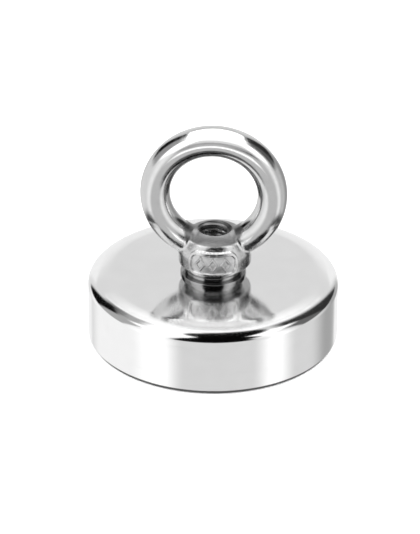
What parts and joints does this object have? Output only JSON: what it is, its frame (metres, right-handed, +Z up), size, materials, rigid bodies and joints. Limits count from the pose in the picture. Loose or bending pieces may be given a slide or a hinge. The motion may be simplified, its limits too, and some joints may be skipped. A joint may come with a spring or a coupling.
{
  "type": "magnet fishing magnet",
  "caption": "Round pot magnet with a countersunk screw through it and a ring eye nut on top for a rope or carabiner.",
  "frame": {"origin": "centre of the working face, on the plane that the cup's rim rests on", "axes": "+Z up along the screw, from the working face to the eye; the eye lies in the XZ plane, so +Y runs through it"},
  "size_m": [0.048, 0.048, 0.044],
  "materials": {
    "polished_plate": "mirror polished bright plating with faint haze",
    "magnet_plate": "nickel plating over sintered magnet, satin",
    "clear_glue": "cured adhesive",
    "potting_resin": "black potting resin, slightly glossy",
    "turned_steel": "turned and plated steel",
    "zinc_plate": "bright stainless washers with stamped edges",
    "screw_steel": "rolled stainless screw",
    "cast_stainless": "polished cast stainless, satin and slightly pitted round the hub"
  },
  "bodies": {
    "magnet": {"steel_cup": "polished_plate", "ring_magnet": "magnet_plate", "glue_film": "clear_glue", "outer_resin_ring": "potting_resin", "inner_resin_ring": "potting_resin", "centre_bush": "turned_steel", "flat_washer": "zinc_plate", "lock_washer": "zinc_plate"},
    "screw": {"bolt": "screw_steel"},
    "eye": {"eye_nut": "cast_stainless"}
  },
  "joints": [
    {"name": "eye_nut_rise", "type": "slide", "parent": "magnet", "child": "eye", "axis": [0, 0, 1], "range_m": [0, 0.005]},
    {"name": "bolt_turn", "type": "hinge", "parent": "magnet", "child": "screw", "pos_m": [0, 0, 0], "axis": [0, 0, -1], "range_deg": [0, 1800]}
  ],
  "couplings": [
    {"joint": "bolt_turn", "follows": "eye_nut_rise", "rad_per_m": 6283.2}
  ]
}
